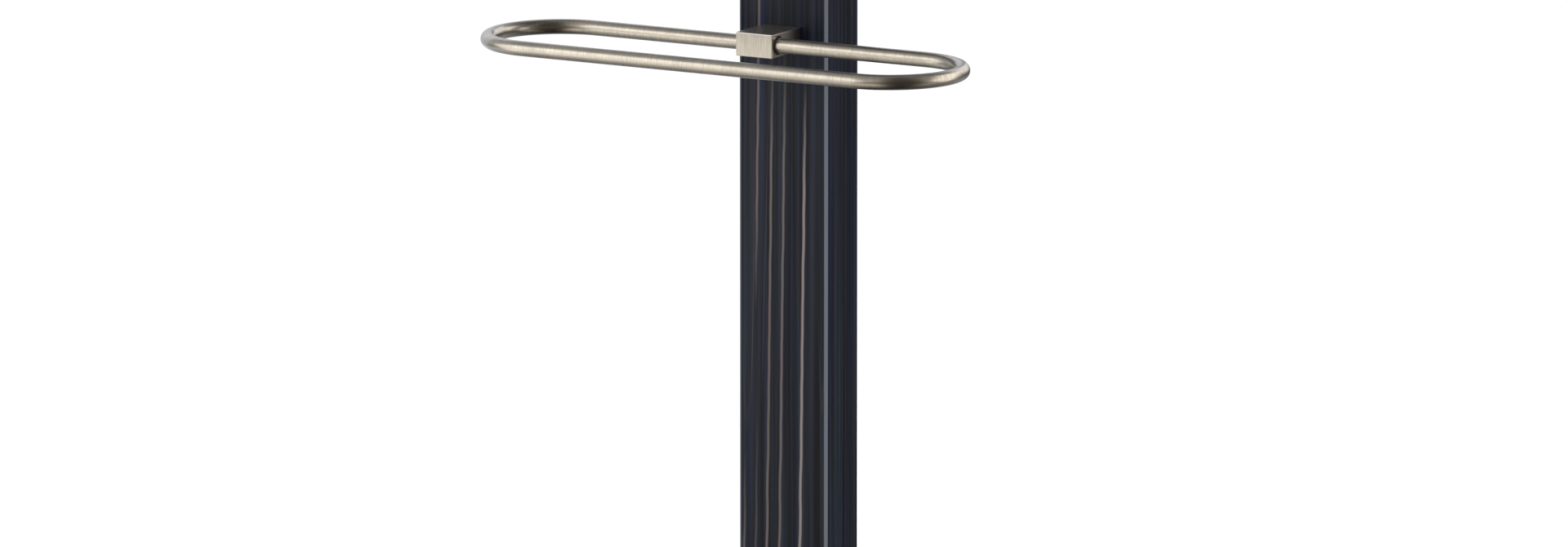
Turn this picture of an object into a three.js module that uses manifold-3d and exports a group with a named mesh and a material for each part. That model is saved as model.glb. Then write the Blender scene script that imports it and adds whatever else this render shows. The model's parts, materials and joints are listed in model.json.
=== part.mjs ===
// Valet stand: a weighted base, a rectangular post, a loop-shaped trouser rail that folds on its
// rear rod, a pair of jacket shoulders on a steel spine, and a lined tray on top.
// Millimetres. +Z is up, -Y is the front, and the origin is on the floor under the base's centre.
import * as THREE from "three";
import { mergeVertices } from "three/addons/utils/BufferGeometryUtils.js";
import Module from "manifold-3d";

const wasm = await Module();
wasm.setup();

// ---- Driving dimensions ----

// Fits, shared by every piece
const SEAT = 0.2; // gap between two faces that sit on each other
const HOLE_PLAY = 0.2; // radial room round a screw, bolt or dowel
const HEAD_PLAY = 0.6; // radial room round a screw's head in its pocket
const SLOT_PLAY = 0.3; // room on each side of a bar in its slot
const RUNNING = 0.1; // radial room round the rod in its bushes
const PAST = 1; // how far a cut runs past the face that it opens

// Base
const BASE_WIDTH = 380;
const BASE_DEPTH = 320;
const BASE_THICKNESS = 30;
const BASE_CHAMFER = 2;
const BALLAST_MARGIN = 38; // board left round the ballast plate
const BALLAST_THICKNESS = 8;
const GLIDE_RADIUS = 15;
const GLIDE_HEIGHT = 6;

// Post
const POST_WIDTH = 80;
const POST_DEPTH = 51;
const POST_HEIGHT = 1040;
const POST_CHAMFER = 2;
const POST_SETBACK = 60; // post centre behind the base's centre
const BOLT_SPACING = 44;
const INSERT_LENGTH = 25;
const DOWEL_SPACING = 24;
const DOWEL_LENGTH = 28;

// Trouser rail
const RAIL_DROP = 200; // rail below the jacket shoulders' line
const ROD_RADIUS = 6;
const LOOP_LENGTH = 410; // between the centrelines of the loop's two ends
const LOOP_DEPTH = 113; // between the centrelines of its front and rear rods
const ROD_GAP = 2; // between the rod's two ends, inside the bracket
const BUSH_WALL = 1.3;
const BUSH_LENGTH = 5;
const BUSH_RECESS = 1.5; // bush below the mouth of its bore
const BRACKET_WIDTH = 33;
const BRACKET_REACH = 44.5; // front of the bracket from the post
const BRACKET_WALL = 1.9; // metal above and below the bushes
const BRACKET_NOSE = 1.9; // metal in front of the bushes
const BRACKET_WEB = 7; // metal between the rod's bore and the bracket screws' tips
const BRACKET_CHAMFER = 0.8;
const BRACKET_SCREW_SPACING = 18;
const BACKPLATE_WIDTH = 46;
const BACKPLATE_HEIGHT = 22;
const BACKPLATE_THICKNESS = 3;

// Jacket shoulders
const HANGER_DROP = 75; // shoulders' line below the post's top
const SHOULDER_LENGTH = 180;
const SHOULDER_RISE = 30; // inner end above and below the line
const SHOULDER_FALL = 54; // how far the tip's top lies below the inner end's
const TIP_HEIGHT = 30;
const SHOULDER_THICKNESS = 32;
const TIP_THICKNESS = 42;
const TIP_FORWARD = 26; // how far the tip curves to the front
const SPINE_HEIGHT = 20;
const SPINE_THICKNESS = 8;
const SPINE_REACH = 95; // spine beyond the post on each side
const SPINE_DROP = 8; // spine below the shoulders' line
const SHOULDER_SCREWS = [28, 74]; // from the shoulder's inner end

// Tray
const TRAY_WIDTH = 230;
const TRAY_DEPTH = 130;
const TRAY_HEIGHT = 24;
const TRAY_WALL = 7;
const TRAY_FLOOR = 10;
const TRAY_CHAMFER = 2;
const TRAY_FORWARD = 15; // tray centre in front of the post's centre
const LINER_THICKNESS = 2.5;
const PLATE_WIDTH = 150;
const PLATE_DEPTH = 90;
const PLATE_THICKNESS = 5;
const PLATE_SCREW_SPACING = 48;

// Fasteners: the radii of shank and head, the shank's length and the head's height
const BALLAST_SCREW = { shank: 2, length: 16, head: 4 };
const BALLAST_SCREW_INSET = 12; // from the ballast plate's edges
const GLIDE_SCREW = { shank: 1.8, length: 16, head: 3.8 };
const GLIDE_SCREW_DEPTH = 2; // its face above the glide's own
const POST_BOLT = { shank: 4, length: 34, head: 7.5, headHeight: 5.3 };
const POST_WASHER = { outer: 8, thickness: 1.6 };
const INSERT_RADIUS = 6;
const DOWEL_RADIUS = 4;
const BRACKET_SCREW = { shank: 3, head: 5.4 };
const SET_SCREW_RADIUS = 2;
const SET_SCREW_SUNK = 0.3; // its face above the bracket's underside
const SHOULDER_SCREW = { shank: 2.5, head: 4.6, headHeight: 3 };
const SHOULDER_SCREW_SEAT = 9; // floor of its pocket behind the spine's centre
const SPINE_SCREW = { shank: 2.5, head: 4.6, headHeight: 3 };
const SPINE_SCREW_POCKET = 4;
const PLATE_SCREW = { shank: 2.5, length: 42, head: 5 };
const TRAY_SCREW = { shank: 2, length: 11, head: 4, headHeight: 2.4 };
const TRAY_SCREW_INSET = 9; // from the plate's edges

// How finely the curved pieces are faceted
const ROD_STEPS = 84; // along the rail's whole rod
const ROD_SIDES = 8; // for a quarter of its circle
const ROD_LENGTH_STEPS = 1200; // for measuring its length
const WING_FRONT_STEPS = 6; // for each curve of a shoulder's front view
const WING_PLAN_STEPS = 5;

// ---- Places that follow from them ----

const boardBottom = GLIDE_HEIGHT + SEAT;
const boardTop = boardBottom + BASE_THICKNESS;
const postBottom = boardTop + SEAT;
const postTop = postBottom + POST_HEIGHT;
const postFront = POST_SETBACK - POST_DEPTH / 2;
const postBack = POST_SETBACK + POST_DEPTH / 2;
const shoulderLine = postTop - HANGER_DROP;
const spineLine = shoulderLine - SPINE_DROP;
const railLine = shoulderLine - RAIL_DROP;
const rodBore = ROD_RADIUS + RUNNING;
const bushOuter = rodBore + BUSH_WALL;
const bushBore = bushOuter + HOLE_PLAY;
const bracketHeight = 2 * (bushBore + BRACKET_WALL);
const bracketFront = postFront - BRACKET_REACH;
const rodAxisY = bracketFront + BRACKET_NOSE + bushBore;
const plateBottom = postTop + SEAT;
const trayBottom = plateBottom + PLATE_THICKNESS + SEAT;
const trayY = POST_SETBACK - TRAY_FORWARD;

// ---- Finishes ----

const finish = (color, roughness, metalness) =>
  new THREE.MeshStandardMaterial({ color, roughness, metalness });
const ebony = finish(0x26272d, 0.35, 0);
const nickel = finish(0xc6bcaf, 0.32, 1);
const zinc = finish(0xa9adb0, 0.4, 1);
const blackSteel = finish(0x2c2c2e, 0.55, 0.6);
const nylon = finish(0x1a1a1a, 0.6, 0);
const rubber = finish(0x202020, 0.9, 0);
const beech = finish(0xc9a57a, 0.7, 0);
const leather = finish(0x3a2c24, 0.6, 0);

// ---- Solids ----

// A closed geometry as a solid for joining and cutting.
function solid(geometry) {
  const bare = geometry.index ? geometry.toNonIndexed() : geometry.clone();
  bare.deleteAttribute("normal");
  bare.deleteAttribute("uv");
  const merged = mergeVertices(bare, 1e-3);
  return new wasm.Manifold(
    new wasm.Mesh({
      numProp: 3,
      vertProperties: merged.attributes.position.array,
      triVerts: new Uint32Array(merged.index.array),
    }),
  );
}

function geometryOf(made) {
  const mesh = made.getMesh();
  const geometry = new THREE.BufferGeometry();
  geometry.setAttribute("position", new THREE.BufferAttribute(mesh.vertProperties, 3));
  geometry.setIndex(new THREE.BufferAttribute(mesh.triVerts, 1));
  geometry.computeVertexNormals();
  return geometry;
}

function cut(body, ...tools) {
  return geometryOf(tools.reduce((left, tool) => left.subtract(solid(tool)), solid(body)));
}

function join(a, b) {
  return geometryOf(solid(a).add(solid(b)));
}

function common(a, b) {
  return geometryOf(solid(a).intersect(solid(b)));
}

// A box between two opposite corners.
function boxBetween([x0, y0, z0], [x1, y1, z1]) {
  return new THREE.BoxGeometry(x1 - x0, y1 - y0, z1 - z0)
    .translate((x0 + x1) / 2, (y0 + y1) / 2, (z0 + z1) / 2);
}

// A box that is centred on the origin in X and Y and stands on z = 0.
function slab(width, depth, height) {
  return boxBetween([-width / 2, -depth / 2, 0], [width / 2, depth / 2, height]);
}

// A slab with its upright edges chamfered.
function chamferedSlab(width, depth, height, chamfer) {
  const x = width / 2;
  const y = depth / 2;
  const outline = [
    [-x + chamfer, -y], [x - chamfer, -y], [x, -y + chamfer], [x, y - chamfer],
    [x - chamfer, y], [-x + chamfer, y], [-x, y - chamfer], [-x, -y + chamfer],
  ];
  const shape = new THREE.Shape(outline.map(([u, v]) => new THREE.Vector2(u, v)));
  return new THREE.ExtrudeGeometry(shape, { depth: height, bevelEnabled: false });
}

// A round pin, or the cut for a round hole, between two levels along an axis.
function round(radius, low, high, axis = "z", segments = 16) {
  const pin = new THREE.CylinderGeometry(radius, radius, high - low, segments);
  pin.translate(0, (low + high) / 2, 0);
  if (axis === "z") pin.rotateX(Math.PI / 2);
  if (axis === "x") pin.rotateZ(-Math.PI / 2);
  return pin;
}

// A turned piece about Z, from [radius, height] pairs that run up its outside.
function turned(profile, segments = 12) {
  const points = profile.map(([radius, height]) => new THREE.Vector2(radius, height));
  return new THREE.LatheGeometry(points, segments).rotateX(Math.PI / 2);
}

// A ring about Z that stands on z = 0.
function ring(inner, outer, height, segments = 16) {
  return turned([[inner, 0], [outer, 0], [outer, height], [inner, height], [inner, 0]], segments);
}

// ---- Fasteners: a head's seat or a countersunk head's face is at z = 0, the shank points down ----

function panScrew({ shank, head, headHeight }, length) {
  return turned([[0, -length], [shank, -length], [shank, 0], [head, 0], [head, headHeight],
    [0, headHeight]]);
}

function countersunkScrew({ shank, head }, length) {
  return turned([[0, -length], [shank, -length], [shank, shank - head], [head, 0], [0, 0]]);
}

// The cut for a countersunk screw.
function countersink({ shank, head }, length) {
  const hole = shank + HOLE_PLAY;
  const mouth = head + HOLE_PLAY;
  return turned([[0, -length - PAST], [hole, -length - PAST], [hole, shank - head], [mouth, 0],
    [mouth, PAST], [0, PAST]]);
}

function hexBolt({ shank, length, head, headHeight }) {
  return join(round(head, 0, headHeight, "z", 6), round(shank, -length, headHeight / 2));
}

const POINTING_UP = [Math.PI, 0, 0]; // turns a fastener so that it is driven from below
const FROM_BEHIND = [-Math.PI / 2, 0, 0]; // turns a fastener so that it is driven towards -Y

// ---- Assembly ----

function piece(name, geometry, material, place = [0, 0, 0], turn = [0, 0, 0]) {
  const mesh = new THREE.Mesh(geometry, material);
  mesh.name = name;
  mesh.position.set(...place);
  mesh.rotation.set(...turn);
  return mesh;
}

function groupAt(x, y, z) {
  const group = new THREE.Group();
  group.position.set(x, y, z);
  return group;
}

const sides = [["left", -1], ["right", 1]];
const corners = [["front_left", -1, -1], ["front_right", 1, -1],
  ["back_left", -1, 1], ["back_right", 1, 1]];

// Base: a board with a pocket beneath, closed by a screwed steel ballast plate.
const ballastWidth = BASE_WIDTH - 2 * BALLAST_MARGIN;
const ballastDepth = BASE_DEPTH - 2 * BALLAST_MARGIN;
const ballastScrewX = ballastWidth / 2 - BALLAST_SCREW_INSET;
const ballastScrewY = ballastDepth / 2 - BALLAST_SCREW_INSET;
const glideX = (BASE_WIDTH - BALLAST_MARGIN) / 2;
const glideY = (BASE_DEPTH - BALLAST_MARGIN) / 2;
const pocketDepth = BALLAST_THICKNESS + SEAT;
const boltHead = pocketDepth + POST_BOLT.headHeight + SEAT; // under side of the washer
const boltSeat = boltHead + SEAT + POST_WASHER.thickness + SEAT;

function makeBase() {
  const base = groupAt(0, 0, boardBottom);
  const cuts = [slab(ballastWidth + 2 * SEAT, ballastDepth + 2 * SEAT, pocketDepth + PAST)
    .translate(0, 0, -PAST)];
  for (const [, side] of sides) {
    const x = (side * BOLT_SPACING) / 2;
    const y = POST_SETBACK + (side * DOWEL_SPACING) / 2;
    cuts.push(
      round(POST_WASHER.outer + HEAD_PLAY, pocketDepth - PAST, boltSeat)
        .translate(x, POST_SETBACK, 0),
      round(POST_BOLT.shank + HOLE_PLAY, boltSeat - PAST, BASE_THICKNESS + PAST)
        .translate(x, POST_SETBACK, 0),
      round(DOWEL_RADIUS + HOLE_PLAY, BASE_THICKNESS - DOWEL_LENGTH / 2, BASE_THICKNESS + PAST)
        .translate(0, y, 0),
    );
  }
  for (const [, sx, sy] of corners) {
    cuts.push(
      round(BALLAST_SCREW.shank + HOLE_PLAY, 0, BALLAST_SCREW.length + PAST)
        .translate(sx * ballastScrewX, sy * ballastScrewY, 0),
      round(GLIDE_SCREW.shank + HOLE_PLAY, -PAST, GLIDE_SCREW.length - GLIDE_HEIGHT + 2 * PAST)
        .translate(sx * glideX, sy * glideY, 0),
    );
  }
  const board = chamferedSlab(BASE_WIDTH, BASE_DEPTH, BASE_THICKNESS, BASE_CHAMFER);
  base.add(piece("base_board", cut(board, ...cuts), ebony));

  const plateCuts = corners.map(([, sx, sy]) =>
    countersink(BALLAST_SCREW, BALLAST_SCREW.length).rotateX(Math.PI)
      .translate(sx * ballastScrewX, sy * ballastScrewY, 0));
  const plate = slab(ballastWidth, ballastDepth, BALLAST_THICKNESS);
  base.add(piece("ballast_plate", cut(plate, ...plateCuts), blackSteel));
  for (const [name, sx, sy] of corners) {
    base.add(piece(`ballast_screw_${name}`,
      countersunkScrew(BALLAST_SCREW, BALLAST_SCREW.length), zinc,
      [sx * ballastScrewX, sy * ballastScrewY, 0], POINTING_UP));
  }
  return base;
}

// Glides: four rubber feet, each held by a screw sunk in its underside.
function makeGlides() {
  const glides = groupAt(0, 0, 0);
  const foot = cut(
    round(GLIDE_RADIUS, 0, GLIDE_HEIGHT, "z", 24),
    countersink(GLIDE_SCREW, GLIDE_SCREW.length).rotateX(Math.PI).translate(0, 0,
      GLIDE_SCREW_DEPTH),
    round(GLIDE_SCREW.head + HOLE_PLAY, -PAST, GLIDE_SCREW_DEPTH),
  );
  for (const [name, sx, sy] of corners) {
    glides.add(
      piece(`glide_${name}`, foot, rubber, [sx * glideX, sy * glideY, 0]),
      piece(`glide_screw_${name}`, countersunkScrew(GLIDE_SCREW, GLIDE_SCREW.length), zinc,
        [sx * glideX, sy * glideY, GLIDE_SCREW_DEPTH], POINTING_UP),
    );
  }
  return glides;
}

// Post: a rectangular stick, bored for its bolts and dowels, the bracket, the spine and the plate.
function makePost() {
  const post = groupAt(0, POST_SETBACK, postBottom);
  const railLevel = railLine - postBottom;
  const spineLevel = spineLine - postBottom;
  const cuts = [
    slab(POST_WIDTH + 2 * PAST, SPINE_THICKNESS + 2 * SLOT_PLAY, SPINE_HEIGHT + 2 * SLOT_PLAY)
      .translate(0, 0, spineLevel - SPINE_HEIGHT / 2 - SLOT_PLAY),
    round(SPINE_SCREW.shank + HOLE_PLAY, 0, POST_DEPTH, "y").translate(0, 0, spineLevel),
    round(SPINE_SCREW.head + HEAD_PLAY, POST_DEPTH / 2 - SPINE_SCREW_POCKET, POST_DEPTH, "y")
      .translate(0, 0, spineLevel),
  ];
  for (const [, side] of sides) {
    cuts.push(
      round(INSERT_RADIUS + HOLE_PLAY, -PAST, INSERT_LENGTH + PAST)
        .translate((side * BOLT_SPACING) / 2, 0, 0),
      round(DOWEL_RADIUS + HOLE_PLAY, -PAST, DOWEL_LENGTH / 2)
        .translate(0, (side * DOWEL_SPACING) / 2, 0),
      round(BRACKET_SCREW.shank + HOLE_PLAY, -POST_DEPTH, POST_DEPTH, "y")
        .translate((side * BRACKET_SCREW_SPACING) / 2, 0, railLevel),
      round(PLATE_SCREW.shank + HOLE_PLAY, POST_HEIGHT - PLATE_SCREW.length, POST_HEIGHT + PAST)
        .translate((side * PLATE_SCREW_SPACING) / 2, 0, 0),
    );
  }
  const stick = chamferedSlab(POST_WIDTH, POST_DEPTH, POST_HEIGHT, POST_CHAMFER);
  post.add(piece("post", cut(stick, ...cuts), ebony));
  return post;
}

// Post joint: two bolts from beneath the board into inserts in the end grain, and two dowels.
function makePostJoint() {
  const joint = groupAt(0, POST_SETBACK, boardBottom);
  for (const [name, side] of sides) {
    const x = (side * BOLT_SPACING) / 2;
    joint.add(
      piece(`post_bolt_${name}`, hexBolt(POST_BOLT), zinc, [x, 0, boltHead], POINTING_UP),
      piece(`post_washer_${name}`,
        ring(POST_BOLT.shank + HOLE_PLAY, POST_WASHER.outer, POST_WASHER.thickness), zinc,
        [x, 0, boltHead + SEAT]),
      piece(`post_insert_${name}`,
        ring(POST_BOLT.shank + HOLE_PLAY, INSERT_RADIUS, INSERT_LENGTH), zinc,
        [x, 0, BASE_THICKNESS + SEAT]),
    );
  }
  for (const [name, side] of [["front", -1], ["back", 1]]) {
    joint.add(piece(`post_dowel_${name}`,
      round(DOWEL_RADIUS, SEAT - DOWEL_LENGTH / 2, DOWEL_LENGTH / 2), beech,
      [0, (side * DOWEL_SPACING) / 2, BASE_THICKNESS]));
  }
  return joint;
}

// Bracket: a square-edged arm on the post's face, cross-bored for the rod and its two bushes.
// The rod's ends meet inside the bore, and a set screw from below bears on each.
const bushMouth = BRACKET_WIDTH / 2;
const bushFloor = bushMouth - BUSH_RECESS - BUSH_LENGTH - SEAT;
const setScrewX = (ROD_GAP / 2 + bushFloor) / 2;
const bracketScrewBite =
  BRACKET_REACH - BRACKET_NOSE - 2 * bushBore - BRACKET_WEB; // thread inside the bracket
const bracketScrewLength = bracketScrewBite + POST_DEPTH + SEAT + BACKPLATE_THICKNESS;

function makeBracket() {
  const bracket = groupAt(0, 0, railLine);
  const cuts = [round(rodBore, -BRACKET_WIDTH, BRACKET_WIDTH, "x", 24).translate(0, rodAxisY, 0)];
  for (const [, side] of sides) {
    const ends = [side * bushFloor, side * (bushMouth + PAST)].sort((a, b) => a - b);
    cuts.push(
      round(bushBore, ...ends, "x", 24).translate(0, rodAxisY, 0),
      round(SET_SCREW_RADIUS + HOLE_PLAY, -bracketHeight, 0)
        .translate(side * setScrewX, rodAxisY, 0),
      round(BRACKET_SCREW.shank + HOLE_PLAY, postFront - bracketScrewBite - PAST,
        postFront + PAST, "y").translate((side * BRACKET_SCREW_SPACING) / 2, 0, 0),
    );
  }
  const arm = chamferedSlab(BRACKET_WIDTH, BRACKET_REACH - SEAT, bracketHeight, BRACKET_CHAMFER)
    .translate(0, bracketFront + (BRACKET_REACH - SEAT) / 2, -bracketHeight / 2);
  bracket.add(piece("rail_bracket", cut(arm, ...cuts), nickel));

  const setScrew = round(SET_SCREW_RADIUS, SET_SCREW_SUNK - bracketHeight / 2,
    -ROD_RADIUS - SEAT);
  const bush = ring(rodBore, bushOuter, BUSH_LENGTH, 24).translate(0, 0, -BUSH_LENGTH / 2);
  for (const [name, side] of sides) {
    const bushX = side * (bushMouth - BUSH_RECESS - BUSH_LENGTH / 2);
    bracket.add(
      piece(`rail_bush_${name}`, bush, nylon, [bushX, rodAxisY, 0], [0, Math.PI / 2, 0]),
      piece(`rail_set_screw_${name}`, setScrew, blackSteel, [side * setScrewX, rodAxisY, 0]),
    );
  }
  return bracket;
}

// Backplate: a plate on the post's back, under the heads of the two screws that hold the bracket.
function makeBackplate() {
  const back = groupAt(0, postBack + SEAT, railLine);
  const screwPlaces = sides.map(([, side]) =>
    [(side * BRACKET_SCREW_SPACING) / 2, BACKPLATE_THICKNESS, 0]);
  const cuts = screwPlaces.map((place) =>
    countersink(BRACKET_SCREW, bracketScrewLength).rotateX(-Math.PI / 2).translate(...place));
  const plate = slab(BACKPLATE_WIDTH, BACKPLATE_THICKNESS, BACKPLATE_HEIGHT)
    .translate(0, BACKPLATE_THICKNESS / 2, -BACKPLATE_HEIGHT / 2);
  back.add(piece("rail_backplate", cut(plate, ...cuts), nickel));
  sides.forEach(([name], i) => back.add(piece(`bracket_screw_${name}`,
    countersunkScrew(BRACKET_SCREW, bracketScrewLength), nickel, screwPlaces[i], FROM_BEHIND)));
  return back;
}

// Rail: one round rod bent to a level loop with half-round ends, open only inside the bracket.
class LevelCurve extends THREE.Curve {
  constructor(route) {
    super();
    this.route = route;
    this.arcLengthDivisions = ROD_LENGTH_STEPS;
  }

  getPoint(t, target = new THREE.Vector3()) {
    const point = this.route.getPoint(t);
    return target.set(point.x, point.y, 0);
  }
}

function makeRail() {
  const rail = groupAt(0, rodAxisY, railLine);
  const bend = LOOP_DEPTH / 2;
  const straight = LOOP_LENGTH / 2 - bend;
  const route = new THREE.Path()
    .moveTo(ROD_GAP / 2, 0)
    .lineTo(straight, 0)
    .absarc(straight, -bend, bend, Math.PI / 2, -Math.PI / 2, true)
    .lineTo(-straight, -LOOP_DEPTH)
    .absarc(-straight, -bend, bend, -Math.PI / 2, -1.5 * Math.PI, true)
    .lineTo(-ROD_GAP / 2, 0);
  const rod = new THREE.ExtrudeGeometry(new THREE.Shape().absarc(0, 0, ROD_RADIUS, 0, 2 * Math.PI),
    { steps: ROD_STEPS, curveSegments: ROD_SIDES, extrudePath: new LevelCurve(route) });
  rail.add(piece("rail_rod", rod, nickel));
  return rail;
}

// Jacket shoulders: a flat steel spine through the post, with a contoured wing on each end.
// The right-hand wing is the part common to its front view and its plan, each extruded.
function wing() {
  const L = SHOULDER_LENGTH;
  const rise = SHOULDER_RISE;
  const tipTop = rise - SHOULDER_FALL;
  const tipLow = tipTop - TIP_HEIGHT;
  const front = new THREE.Shape()
    .moveTo(0, -rise)
    .lineTo(0, rise)
    .bezierCurveTo(0.3 * L, rise - 0.1 * SHOULDER_FALL, 0.62 * L, rise - 0.6 * SHOULDER_FALL,
      0.95 * L, tipTop)
    .quadraticCurveTo(L, tipTop - 0.13 * TIP_HEIGHT, L, tipTop - TIP_HEIGHT / 2)
    .quadraticCurveTo(L, tipLow, 0.93 * L, tipLow)
    .quadraticCurveTo(0.5 * L, tipLow + 0.1 * SHOULDER_FALL, 0, -rise);
  const half = SHOULDER_THICKNESS / 2;
  const tipHalf = TIP_THICKNESS / 2;
  const plan = new THREE.Shape()
    .moveTo(0, -half)
    .quadraticCurveTo(0.5 * L, -1.1 * half, 0.91 * L, -TIP_FORWARD - tipHalf)
    .quadraticCurveTo(L, -TIP_FORWARD - tipHalf, L, -TIP_FORWARD)
    .quadraticCurveTo(L, -TIP_FORWARD + tipHalf, 0.91 * L, -TIP_FORWARD + tipHalf)
    .quadraticCurveTo(0.5 * L, 1.05 * half, 0, half);
  const deep = 4 * (TIP_FORWARD + TIP_THICKNESS);
  const tall = 4 * (SHOULDER_RISE + SHOULDER_FALL + TIP_HEIGHT);
  return common(
    new THREE.ExtrudeGeometry(front, { depth: deep, bevelEnabled: false, curveSegments: WING_FRONT_STEPS })
      .translate(0, 0, -deep / 2).rotateX(Math.PI / 2),
    new THREE.ExtrudeGeometry(plan, { depth: tall, bevelEnabled: false, curveSegments: WING_PLAN_STEPS })
      .translate(0, 0, -tall / 2),
  );
}

function makeShoulders() {
  const shoulders = groupAt(0, POST_SETBACK, shoulderLine);
  const inner = POST_WIDTH / 2 + SEAT;
  const slotEnd = SPINE_REACH + PAST;
  const slotHeight = SPINE_HEIGHT + 2 * SLOT_PLAY;
  const screwTip = -SPINE_THICKNESS / 2;
  const cuts = [slab(2 * slotEnd, SPINE_THICKNESS + 2 * SLOT_PLAY, slotHeight)
    .translate(0, 0, -SPINE_DROP - slotHeight / 2)];
  for (const x of SHOULDER_SCREWS) {
    cuts.push(
      round(SHOULDER_SCREW.shank + HOLE_PLAY, screwTip - PAST, TIP_THICKNESS, "y")
        .translate(x, 0, -SPINE_DROP),
      round(SHOULDER_SCREW.head + HEAD_PLAY, SHOULDER_SCREW_SEAT, TIP_THICKNESS, "y")
        .translate(x, 0, -SPINE_DROP),
    );
  }
  const right = cut(wing(), ...cuts);
  const left = geometryOf(solid(right).mirror([1, 0, 0]));
  shoulders.add(
    piece("shoulder_left", left, ebony, [-inner, 0, 0]),
    piece("shoulder_right", right, ebony, [inner, 0, 0]),
  );

  const threads = sides.flatMap(([, side]) => SHOULDER_SCREWS.map((x) => side * (inner + x)));
  const spineCuts = [0, ...threads].map((x) =>
    round(SPINE_SCREW.shank + HOLE_PLAY, -SPINE_THICKNESS, SPINE_THICKNESS, "y")
      .translate(x, 0, SPINE_HEIGHT / 2));
  const bar = slab(POST_WIDTH + 2 * SPINE_REACH, SPINE_THICKNESS, SPINE_HEIGHT);
  shoulders.add(piece("hanger_spine", cut(bar, ...spineCuts), blackSteel,
    [0, 0, -SPINE_DROP - SPINE_HEIGHT / 2]));

  const seat = SHOULDER_SCREW_SEAT + SEAT;
  const screw = panScrew(SHOULDER_SCREW, seat - screwTip);
  for (const [name, side] of sides) {
    SHOULDER_SCREWS.forEach((x, i) => shoulders.add(piece(`shoulder_screw_${name}_${i + 1}`,
      screw, zinc, [side * (inner + x), seat, -SPINE_DROP], FROM_BEHIND)));
  }
  const spineSeat = POST_DEPTH / 2 - SPINE_SCREW_POCKET + SEAT;
  shoulders.add(piece("spine_screw", panScrew(SPINE_SCREW, spineSeat + SPINE_THICKNESS / 2), zinc,
    [0, spineSeat, -SPINE_DROP], FROM_BEHIND));
  return shoulders;
}

// Tray: a routed tray with a leather liner, on a steel plate screwed to the post's end grain.
const trayScrewX = PLATE_WIDTH / 2 - TRAY_SCREW_INSET;
const trayScrewY = PLATE_DEPTH / 2 - TRAY_SCREW_INSET;

function makeTray() {
  const top = groupAt(0, trayY, trayBottom);
  const hollowWidth = TRAY_WIDTH - 2 * TRAY_WALL;
  const hollowDepth = TRAY_DEPTH - 2 * TRAY_WALL;
  const pilots = corners.map(([, sx, sy]) =>
    round(TRAY_SCREW.shank + HOLE_PLAY, -PAST, TRAY_SCREW.length - PLATE_THICKNESS + PAST)
      .translate(sx * trayScrewX, sy * trayScrewY, 0));
  const body = chamferedSlab(TRAY_WIDTH, TRAY_DEPTH, TRAY_HEIGHT, TRAY_CHAMFER);
  const hollow = slab(hollowWidth, hollowDepth, TRAY_HEIGHT).translate(0, 0, TRAY_FLOOR);
  const liner = slab(hollowWidth - 2 * SEAT, hollowDepth - 2 * SEAT, LINER_THICKNESS);
  top.add(
    piece("tray", cut(body, hollow, ...pilots), ebony),
    piece("tray_liner", liner, leather, [0, 0, TRAY_FLOOR + SEAT]),
  );
  return top;
}

function makePlate() {
  const under = groupAt(0, trayY, plateBottom);
  const plateScrews = sides.map(([, side]) =>
    [(side * PLATE_SCREW_SPACING) / 2, TRAY_FORWARD, PLATE_THICKNESS]);
  const cuts = corners.map(([, sx, sy]) =>
    round(TRAY_SCREW.shank + HOLE_PLAY, -PAST, PLATE_THICKNESS + PAST)
      .translate(sx * trayScrewX, sy * trayScrewY, 0));
  cuts.push(...plateScrews.map((place) =>
    countersink(PLATE_SCREW, PLATE_SCREW.length).translate(...place)));
  const plate = slab(PLATE_WIDTH, PLATE_DEPTH, PLATE_THICKNESS);
  under.add(piece("tray_plate", cut(plate, ...cuts), nickel));
  sides.forEach(([name], i) => under.add(piece(`plate_screw_${name}`,
    countersunkScrew(PLATE_SCREW, PLATE_SCREW.length), zinc, plateScrews[i])));
  for (const [name, sx, sy] of corners) {
    under.add(piece(`tray_screw_${name}`, panScrew(TRAY_SCREW, TRAY_SCREW.length), zinc,
      [sx * trayScrewX, sy * trayScrewY, -SEAT], POINTING_UP));
  }
  return under;
}

const stand = new THREE.Group();
stand.add(makeBase(), makeGlides(), makePost(), makePostJoint(), makeBracket(), makeBackplate(),
  makeRail(), makeShoulders(), makeTray(), makePlate());

export default stand;
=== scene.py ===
"""A valet stand in ebonised veneer and brushed nickel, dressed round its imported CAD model.

Lengths are in metres, in the model's own frame: +Z is up and -Y is the front.
"""
import json
import math

import bmesh
import bpy
import numpy as np
from mathutils import Matrix, Vector


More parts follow.
